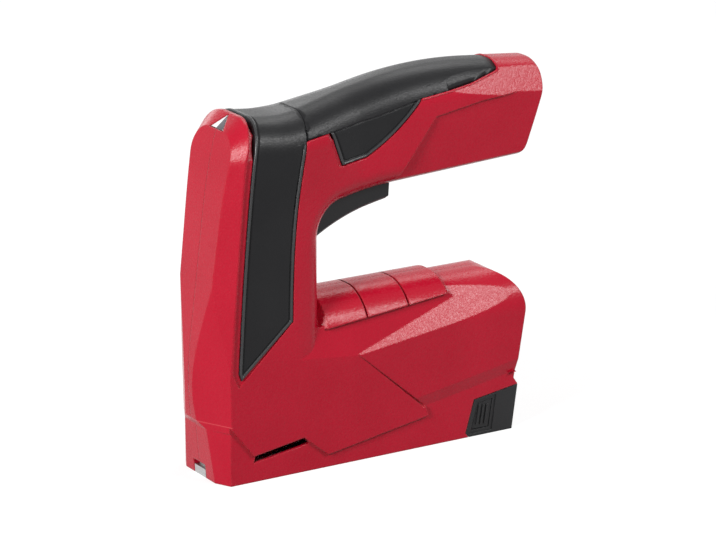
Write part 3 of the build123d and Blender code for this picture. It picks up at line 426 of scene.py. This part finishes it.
BEAD, BEAD_CROWN, BEAD_FULLNESS = 1.6, 0.80, 0.8       # width, height over its foot, and roundness
BEAD_FOOT, GROOVE = 0.38, 0.10                         # depth of the foot, and of the groove below it
GROOVE_DROP, GROOVE_END, GROOVE_RISE = 0.2, 1.9, 0.5   # run down, start of the way up, and run up
BEAD_SHINE, BEAD_SHOWS = 1.45, 0.3                     # width in its own material, and least share of height
CREASE_DEPTH, CREASE_HALF = 0.4, 0.45
FINE, COARSER = 0.36, 0.6                              # edge length beside the detail, and its growth away
MOST_CUTS = 10                                         # times that an edge may be halved
BEAD_REACH, CREASE_REACH = 2.9, 0.6                    # how far the finest edges go
RIM_STEP = 0.00025                                     # metres between points along the rim
FAR = 9.0                                              # stands for no crease near
SMOOTH_TURN = radians(32)                              # largest turn inside the outer face
OFF_MIDDLE, ON_MIDDLE = 1e-4, 2e-5                     # metres from the middle plane

BAND_JOINT_X, BAND_JOINT_Z = 38, 155.6                 # where the band's joint with the grip begins
FADE_X, FADE_RUN_X, FADE_Z, FADE_RUN_Z = 32, 3, 151, 4         # start and run of the bead's end near it
WEDGE_FRONT, WEDGE_REAR, WEDGE_TOP = 53.8, 103.4, 166
WEDGE_CREASE = ((53.6, 156.4), (80.1, 160.3), (103.5, 165.2))


def bead(d):
    """Height of the skin at a distance from its edge: a round bead and the groove inside it."""
    if d < BEAD:
        return BEAD_CROWN * sin(pi * d / BEAD) ** BEAD_FULLNESS - BEAD_FOOT
    down = GROOVE * smooth((d - BEAD) / GROOVE_DROP)
    up = (BEAD_FOOT + GROOVE) * smooth((d - GROOVE_END) / GROOVE_RISE)
    return up - down - BEAD_FOOT


def off_line(x, z, line):
    """Distance from a drawn line in side view."""
    best = FAR
    for (x0, z0), (x1, z1) in zip(line, line[1:]):
        t = clamp(((x - x0) * (x1 - x0) + (z - z0) * (z1 - z0)) / ((x1 - x0) ** 2 + (z1 - z0) ** 2))
        best = min(best, ((x - x0 - t * (x1 - x0)) ** 2 + (z - z0 - t * (z1 - z0)) ** 2) ** 0.5)
    return best


def below(x, z, line):
    """True under a drawn line in side view, or everywhere without one."""
    if not line:
        return True
    for (x0, z0), (x1, z1) in zip(line, line[1:]):
        if x0 <= x <= x1:
            return z < z0 + (z1 - z0) * (x - x0) / (x1 - x0)
    return x < line[0][0] and z < line[0][1]


def band_rim(x, z):
    """The band's bead runs all round it, except along the joint with the grip."""
    return z < BAND_JOINT_Z or x < BAND_JOINT_X


def band_fade(x, z):
    """Share of the band's bead, which runs out towards that joint."""
    return 1 - smooth((z - FADE_Z) / FADE_RUN_Z) * smooth((x - FADE_X) / FADE_RUN_X)


def wedge_rim(x, z):
    """The grip's bead runs along the lower edge of its wedge."""
    return WEDGE_FRONT < x < WEDGE_REAR and z < WEDGE_TOP


def wedge_fade(x, z):
    """The wedge's bead shows in full."""
    return 1.0


def outer_face(cad_name):
    """Welded copy of a left skin whose outer triangles are flagged."""
    bm = welded(cad_name)
    flag = bm.faces.layers.int.new("outer")
    seed = min(bm.faces, key=lambda f: f.calc_center_median().y)
    seed[flag] = 1
    stack = [seed]
    while stack:
        for e in stack.pop().edges:
            if len(e.link_faces) == 2 and e.calc_face_angle() < SMOOTH_TURN:
                for f in e.link_faces:
                    if not f[flag]:
                        f[flag] = 1
                        stack.append(f)
    return bm, flag


def rim_edges(bm, flag, wanted):
    """Edges round the outer face, off the middle plane, that are wanted in side view."""
    rim = []
    for e in bm.edges:
        if len(e.link_faces) == 2 and e.link_faces[0][flag] != e.link_faces[1][flag]:
            mid = (e.verts[0].co + e.verts[1].co) / 2
            if abs(mid.y) > OFF_MIDDLE and wanted(*side_view(mid)):
                rim.append(e)
    return rim


def reach_of(edges, line):
    """Function that gives a point's distances from a rim and from a drawn line."""
    points = []
    for e in edges:
        a, b = e.verts[0].co, e.verts[1].co
        count = max(1, int((b - a).length / RIM_STEP))
        points += [a.lerp(b, i / count) for i in range(count + 1)]
    tree = KDTree(len(points))
    for i, p in enumerate(points):
        tree.insert(p, i)
    tree.balance()

    def reach(p):
        return tree.find(p)[2] * 1000, off_line(*side_view(p), line) if line else FAR

    return reach


def refine(bm, flag, reach):
    """Cut the outer face's edges until they are short enough for the detail near them."""
    for _ in range(MOST_CUTS):
        long_edges = []
        for e in bm.edges:
            size = e.calc_length() * 1000
            if size > FINE and any(f[flag] for f in e.link_faces):
                d, c = reach((e.verts[0].co + e.verts[1].co) / 2)
                away = min(max(0.0, d - BEAD_REACH), max(0.0, c - CREASE_REACH))
                if size > FINE + COARSER * away:
                    long_edges.append(e)
        if not long_edges:
            break
        bmesh.ops.subdivide_edges(bm, edges=long_edges, cuts=1)
        bmesh.ops.triangulate(bm, faces=[f for f in bm.faces if len(f.verts) > 3])
    bm.normal_update()


def skin_mesh(cad_name, rim, fade, line):
    """Refined copy of a left skin: rim tells which edges carry the bead, and fade how much of it shows."""
    bm, flag = outer_face(cad_name)
    reach = reach_of(rim_edges(bm, flag, rim), line)
    refine(bm, flag, reach)
    push = {}
    for f in bm.faces:
        if f[flag]:
            for v in f.verts:
                push[v] = push.get(v, Vector()) + f.normal * f.calc_area()
    for v, normal in push.items():
        d, c = reach(v.co)
        x, z = side_view(v.co)
        rise = bead(d) * fade(x, z) if below(x, z, line) else 0.0
        rise -= CREASE_DEPTH * smooth(1.0 - c / CREASE_HALF)
        v.co += normal.normalized() * (rise / 1000)
    for f in bm.faces:
        mid = f.calc_center_median()
        x, z = side_view(mid)
        if f[flag] and reach(mid)[0] < BEAD_SHINE and fade(x, z) > BEAD_SHOWS and below(x, z, line):
            f.material_index = 1
    # the halves meet on the middle plane, so the walls between them go
    inner = [f for f in bm.faces if all(abs(v.co.y) < ON_MIDDLE for v in f.verts)]
    bmesh.ops.delete(bm, geom=inner, context="FACES")
    return to_mesh(bm, cad_name + "_moulding", SKIN_SHARP)


for skin, rim, fade, line in (
    ("soft_band", band_rim, band_fade, None), ("soft_grip", wedge_rim, wedge_fade, WEDGE_CREASE),
):
    left_mesh = skin_mesh(skin + "_left", rim, fade, line)
    right_mesh = mirrored(left_mesh)
    stand_in(skin + "_moulding_left", left_mesh, skin + "_left", soft, bead_black)
    stand_in(skin + "_moulding_right", right_mesh, skin + "_right", soft, bead_black)


# Thin red lip of the housing round the rear end of the grip, in metres

LIP_OUT, LIP_RADIUS, LIP_STEP = 0.0005, 0.0006, 0.0008     # off the grip's edge, radius, and point spacing
LIP_EASING, SHORT_RUN = 3, 3                               # rounds of easing, and points of a run too short
LIP_START = 103.6                                          # millimetres behind the nose corner


def lip_lines(cad_name, wanted):
    """Runs of points just outside a left skin, along the edges that are wanted in side view."""
    bm, flag = outer_face(cad_name)
    steps = {}
    for e in rim_edges(bm, flag, wanted):
        a, b = e.verts
        face = next(f for f in e.link_faces if f[flag])
        out = (b.co - a.co).cross(face.normal).normalized()
        if out.dot(face.calc_center_median() - (a.co + b.co) / 2) > 0:
            out = -out
        for v, w in ((a, b), (b, a)):
            steps.setdefault(v.index, []).append((w.index, v.co.copy(), out))
    bm.free()
    lines = []
    left = set(steps)
    while left:
        ends = [i for i in left if len(steps[i]) == 1]
        here = min(ends) if ends else min(left)
        line = []
        while here is not None:
            left.discard(here)
            out = sum((o for _, _, o in steps[here]), Vector()).normalized()
            line.append(steps[here][0][1] + out * LIP_OUT)
            here = next((k for k, _, _ in steps[here] if k in left), None)
        lines.append(line)
    return lines


def even(line, step):
    """Points at even steps along a run, eased so that the lip has no kinks."""
    points = [line[0]]
    for a, b in zip(line, line[1:]):
        count = max(1, int((b - a).length / step))
        points += [a.lerp(b, i / count) for i in range(1, count + 1)]
    for _ in range(LIP_EASING):
        eased = [(a + b * 2 + c) / 4 for a, b, c in zip(points, points[1:], points[2:])]
        points = [points[0], *eased, points[-1]]
    return points


for k, line in enumerate(lip_lines("soft_grip_left", lambda x, z: x > LIP_START)):
    if len(line) > SHORT_RUN:
        left_mesh = tube(f"grip_lip_{k}", even(line, LIP_STEP), LIP_RADIUS)
        right_mesh = mirrored(left_mesh)
        piece(f"grip_lip_left_{k}", left_mesh, "tool", "red_shell", red)
        piece(f"grip_lip_right_{k}", right_mesh, "tool", "red_shell", red)


# Charge window: a folded lens, one face painted white as a painted reflection and the other smoky, darkened
# with painted shade

LENS_SLOPE = radians(49)
LENS_UP = Vector((-sin(LENS_SLOPE), 0, cos(LENS_SLOPE)))
LENS_SHARE, LENS_SINK, LENS_DEPTH = 0.88, 0.0002, 0.0017   # share of the opening, and metres below its face
FOLD_SHARE = 0.46                                          # place of the fold from the far to the near corner
SAME_CORNER = 1e-4                                         # metres between copies of one corner


def lens_mesh():
    """Triangular lens in the CAD window's opening, folded from the apex to the lower edge."""
    corners = []
    vertices = [v.co.copy() for v in nodes["charge_window"].data.vertices]
    for p in sorted(vertices, key=lambda p: p.dot(LENS_UP), reverse=True):
        if all((p - q).length > SAME_CORNER for q in corners):
            corners.append(p)
    top = corners[:3]
    centre = sum(top, Vector()) / 3
    top = [centre + (p - centre) * LENS_SHARE - LENS_UP * LENS_SINK for p in sorted(top, key=lambda p: p.z)]
    apex = top[2]
    far, near = sorted(top[:2], key=lambda p: -p.y)
    fold = far.lerp(near, FOLD_SHARE) + LENS_UP * LENS_SINK
    under = [p - LENS_UP * LENS_DEPTH for p in (far, near, apex)]
    lit, smoky = (0, 1, 3), (1, 2, 3)
    walls = [(0, 4, 5), (0, 5, 1), (1, 5, 2), (2, 5, 6), (2, 6, 3), (3, 6, 4), (3, 4, 0), (4, 6, 5)]
    mesh = bpy.data.meshes.new("window_lens")
    mesh.from_pydata([far, fold, near, apex, *under], [], [lit, smoky, *walls])
    return mesh


mesh = lens_mesh()
# the lit face carries a painted reflection in white, the smoky face a smoky tint with painted shade
stand_in("window_lens", mesh, "charge_window", lens_white_and_painted_reflection, lens_smoke_and_painted_shade)
mesh.polygons[1].material_index = 1
mesh.update()


# Springs wound from wire, in the space of the CAD springs

Y, Z = 1, 2                            # axes of a point
FLAT_TURNS, EASED = 0.6, 0.25          # turns that lie flat at each end, and share of the climb that is eased
ROLL_BORE, ROLL_BUILD = 0.00078, 0.0008        # inner radius and thickness of the rolled strip, metres
ROLL_TURNS, ROLL_STEPS = 4, 96
STRIP_HALF = 0.00006
STRIP_CORNERS = ((-1, -1), (1, -1), (1, 1), (-1, 1))


def helix(foot, axis, radius, length, turns, per_turn):
    """Points of a wound spring whose end turns lie flat."""
    one = axis.orthogonal().normalized()
    two = axis.cross(one)
    points = []
    for i in range(turns * per_turn + 1):
        t = i / per_turn
        climb = clamp((t - FLAT_TURNS) / (turns - 2 * FLAT_TURNS))
        climb = EASED * smooth(climb) + (1 - EASED) * climb
        turn = 2 * pi * t
        points.append(foot + axis * (length * climb) + (one * cos(turn) + two * sin(turn)) * radius)
    return points


def coil(name, cad_name, along, wire, play, seat, turns, per_turn, sides):
    """Spring wound in the box of a CAD spring, with play round it and a seat at both ends."""
    low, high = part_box(cad_name)
    axis = Vector([float(k == along) for k in range(3)])
    foot = (low + high) / 2
    foot[along] = low[along] + wire + seat
    length = high[along] - low[along] - 2 * (wire + seat)
    radius = (high.x - low.x) / 2 - wire - play
    mesh = tube(name, helix(foot, axis, radius, length, turns, per_turn), wire, sides)
    return stand_in(name, mesh, cad_name, spring)


def roll(cad_name):
    """Strip spring rolled up round the middle of its CAD node."""
    low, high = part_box(cad_name)
    centre, wide = (low + high) / 2, Vector((0, (high.y - low.y) / 2, 0))
    rings = []
    for i in range(ROLL_STEPS + 1):
        turn = 2 * pi * ROLL_TURNS * i / ROLL_STEPS
        out = Vector((cos(turn), 0, sin(turn)))
        middle, thick = centre + out * (ROLL_BORE + ROLL_BUILD * i / ROLL_STEPS), out * STRIP_HALF
        rings.append([middle + thick * a + wide * b for a, b in STRIP_CORNERS])
    return rings


main_coil = coil(
    "main_coil", "main_spring", Z, wire=0.001, play=0.0001, seat=0.0, turns=9, per_turn=20, sides=8,
)
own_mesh(main_coil)
contact_coil = coil(
    "contact_coil", "contact_spring", Z, wire=0.00025, play=0.00005, seat=0.00005, turns=7, per_turn=14,
    sides=6,
)
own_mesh(contact_coil)
coil(
    "trigger_coil", "trigger_spring", Y, wire=0.0003, play=0.0001, seat=0.0001, turns=6, per_turn=16, sides=6,
)
mesh = rings_mesh("pusher_roll_spring", roll("pusher_spring"))
stand_in("pusher_roll_spring", mesh, "pusher_spring", spring)


# Housing screws with lobed recesses, seen in their seats on the right side

SCREW_SIDES, LOBES = 48, 6
HEAD = 2.0                             # height of a head in millimetres
SHANK = ((0.9, 0, 0.1), (1.35, 0, 1.0))        # radius, lobe and height over the tip
HEAD_PROFILE = (                       # radius, lobe and height over the head's foot
    (1.35, 0, 0), (2.9, 0, 0.05), (2.95, 0, 1.1), (2.6, 0, 1.7), (1.9, 0, 1.95), (1.45, 0.22, 1.95),
    (1.4, 0.22, 0.6), (0.4, 0, 0.5),
)


def islands(cad_name):
    """Lowest and highest corner of each separate solid of a CAD node, from the nose back."""
    bm = welded(cad_name)
    boxes = []
    left = set(bm.verts)
    while left:
        stack = [left.pop()]
        points = []
        while stack:
            v = stack.pop()
            points.append(v.co.copy())
            linked = {e.other_vert(v) for e in v.link_edges} & left
            left -= linked
            stack += linked
        boxes.append([Vector([pick(p[k] for p in points) for k in range(3)]) for pick in (min, max)])
    bm.free()
    return sorted(boxes, key=lambda box: box[0].x)


def screw_rings(low, high):
    """Rings of a screw along the side axis, from its tip to the bottom of the recess."""
    centre, tip, foot = (low + high) / 2, low.y * 1000, high.y * 1000 - HEAD
    profile = [(r, lobe, tip + y) for r, lobe, y in SHANK]
    profile += [(r, lobe, foot + y) for r, lobe, y in HEAD_PROFILE]
    rings = []
    for r, lobe, y in profile:
        ring = []
        for k in range(SCREW_SIDES):
            a = 2 * pi * k / SCREW_SIDES
            out = r + lobe * cos(LOBES * a)
            ring.append(Vector((centre.x + out * cos(a) / 1000, y / 1000, centre.z + out * sin(a) / 1000)))
        rings.append(ring)
    return rings


bm = bmesh.new()
for low, high in islands("housing_screws"):
    add_rings(bm, screw_rings(low, high))
stand_in("screws", to_mesh(bm, "screws", SHARP), "housing_screws", zinc)


# Tongue and contacts inside the charge socket, in metres

TONGUE, TONGUE_EDGE = (0.0042, 0.0056, 0.0007), 0.00012
CONTACT, CONTACT_EDGE = (0.0034, 0.0005, 0.00012), 0.00004
CONTACT_COUNT, CONTACT_PITCH, CONTACT_DROP = 5, 0.00095, 0.0004
TONGUE_BACK = 0.0036                   # middle of the tongue inside the socket's mouth


def blocks(name, size, centres, edge, segments):
    """Blocks of one size with bevelled edges, joined in one mesh."""
    bm = bmesh.new()
    for centre in centres:
        made = bmesh.ops.create_cube(bm, size=1.0)["verts"]
        bmesh.ops.scale(bm, vec=size, verts=made)
        bmesh.ops.translate(bm, vec=centre, verts=made)
    bmesh.ops.bevel(bm, geom=bm.edges[:], offset=edge, segments=segments, affect="EDGES")
    return to_mesh(bm, name)


low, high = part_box("charge_socket")
tongue = Vector((high.x - TONGUE_BACK, 0, (low.z + high.z) / 2))
row = [(k - (CONTACT_COUNT - 1) / 2) * CONTACT_PITCH for k in range(CONTACT_COUNT)]
contacts = [tongue + Vector((0, y, -CONTACT_DROP)) for y in row]
mesh = blocks("socket_tongue", TONGUE, [tongue], TONGUE_EDGE, 2)
piece("socket_tongue", mesh, "tool", "black_plastic", black)
mesh = blocks("socket_contacts", CONTACT, contacts, CONTACT_EDGE, 1)
piece("socket_contacts", mesh, "tool", "nickel", nickel)


# Camera at the photograph's angle

AZIMUTH, ELEVATION = radians(-31.5), radians(17)
WIDTH, HEIGHT = 716.0, 540.0           # pixels
FOCAL = 3600.0                         # pixels
PIXEL = 0.00045                        # metres per pixel at the anchor
ANCHOR, ANCHOR_PIXEL = at(0, -21.3, 0), (231.4, 487.0)     # lower near corner of the nose
SENSOR = 36.0                          # millimetres

camera_data = bpy.data.cameras.new("camera")
camera_data.sensor_width = SENSOR
camera_data.lens = SENSOR * FOCAL / WIDTH
camera_data.clip_start, camera_data.clip_end = 0.05, 20.0
camera = bpy.data.objects.new("camera", camera_data)
scene.collection.objects.link(camera)
back = Vector((sin(AZIMUTH) * cos(ELEVATION), -cos(AZIMUTH) * cos(ELEVATION), sin(ELEVATION)))
right = Vector((cos(AZIMUTH), sin(AZIMUTH), 0))
up = back.cross(right)
across, rise = ANCHOR_PIXEL[0] - WIDTH / 2, HEIGHT / 2 - ANCHOR_PIXEL[1]
place = ANCHOR + back * (FOCAL * PIXEL) - right * (across * PIXEL) - up * (rise * PIXEL)
camera.matrix_world = Matrix.Translation(place) @ Matrix((right, up, back)).transposed().to_4x4()
scene.camera = camera


# Floor, backdrop and light

def seen_directly(tree):
    """1 for what the camera sees itself, in a mirror or through glass."""
    path = tree.nodes.new("ShaderNodeLightPath")
    seen = path.outputs["Is Camera Ray"]
    for other in ("Is Glossy Ray", "Is Transmission Ray"):
        seen = maths(tree, "ADD", seen, path.outputs[other], use_clamp=True)
    return seen


def either(tree, share, first, second):
    """Shader that is the first at a share of 0 and the second at 1."""
    n = tree.nodes.new("ShaderNodeMixShader")
    feed(tree, (share, first, second), n.inputs)
    return n.outputs["Shader"]


def floor_material():
    """Pale floor that is white where it is seen, and keeps the shadow."""
    mat, tree, bsdf = material("floor_white")
    link = tree.links.new
    tone = ramp(tree, noise(tree, coords(tree), 6.0), ((0.3, grey(0.29)), (0.7, grey(0.32))))
    link(tone, bsdf.inputs["Base Color"])
    bsdf.inputs["Roughness"].default_value = 0.9
    bsdf.inputs["Specular IOR Level"].default_value = 0.0
    pale = node(tree, "ShaderNodeBsdfDiffuse", Color=(0.3, 0.3, 0.3, 1))
    glow = node(tree, "ShaderNodeEmission", Color=(1, 1, 1, 1), Strength=0.78)
    white = tree.nodes.new("ShaderNodeAddShader")
    feed(tree, (pale.outputs[0], glow.outputs[0]), white.inputs)
    shown = either(tree, seen_directly(tree), bsdf.outputs[0], white.outputs[0])
    link(shown, tree.nodes["Material Output"].inputs["Surface"])
    return mat


FLOOR_SIZE = 12                        # metres
bpy.ops.mesh.primitive_plane_add(size=FLOOR_SIZE, location=(0, 0, 0))
floor = bpy.context.object
floor.name = "floor"
floor.data.materials.append(floor_material())

world = bpy.data.worlds.new("studio")
scene.world = world
world.use_nodes = True
tree = world.node_tree
ambient = tree.nodes["Background"]
ambient.inputs["Color"].default_value = (1, 1, 1, 1)
ambient.inputs["Strength"].default_value = 0.10
backdrop = node(tree, "ShaderNodeBackground", Color=(1, 1, 1, 1), Strength=1.0)
shown = either(tree, seen_directly(tree), ambient.outputs[0], backdrop.outputs[0])
tree.links.new(shown, tree.nodes["World Output"].inputs["Surface"])

AIM = Vector((0, 0, 0.09))             # point of the tool that the lamps stand round


def softbox(name, way, distance, size, radiance):
    """Rectangular softbox standing in a direction from the tool and facing it."""
    data = bpy.data.lights.new(name, "AREA")
    data.shape = "RECTANGLE"
    data.size, data.size_y = size
    data.energy = radiance * pi * size[0] * size[1]
    lamp = bpy.data.objects.new(name, data)
    scene.collection.objects.link(lamp)
    lamp.location = AIM + Vector(way).normalized() * distance
    lamp.rotation_euler = (-Vector(way)).to_track_quat("-Z", "Y").to_euler()


softbox("right_box", (0.5, -0.63, 0.57), 1.5, (0.74, 0.26), 22.5)
softbox("left_box", (-0.84, -0.32, 0.42), 1.5, (0.36, 0.84), 22.5)
softbox("front_box", (-0.95, 0.12, 0.30), 1.5, (0.8, 0.8), 1.6)
softbox("top_box", (0.45, 0.40, 0.80), 1.5, (0.6, 0.6), 4.2)
softbox("back_box", (0.15, 0.95, 0.35), 1.6, (1.0, 0.8), 2.2)

scene.view_settings.view_transform = "Standard"
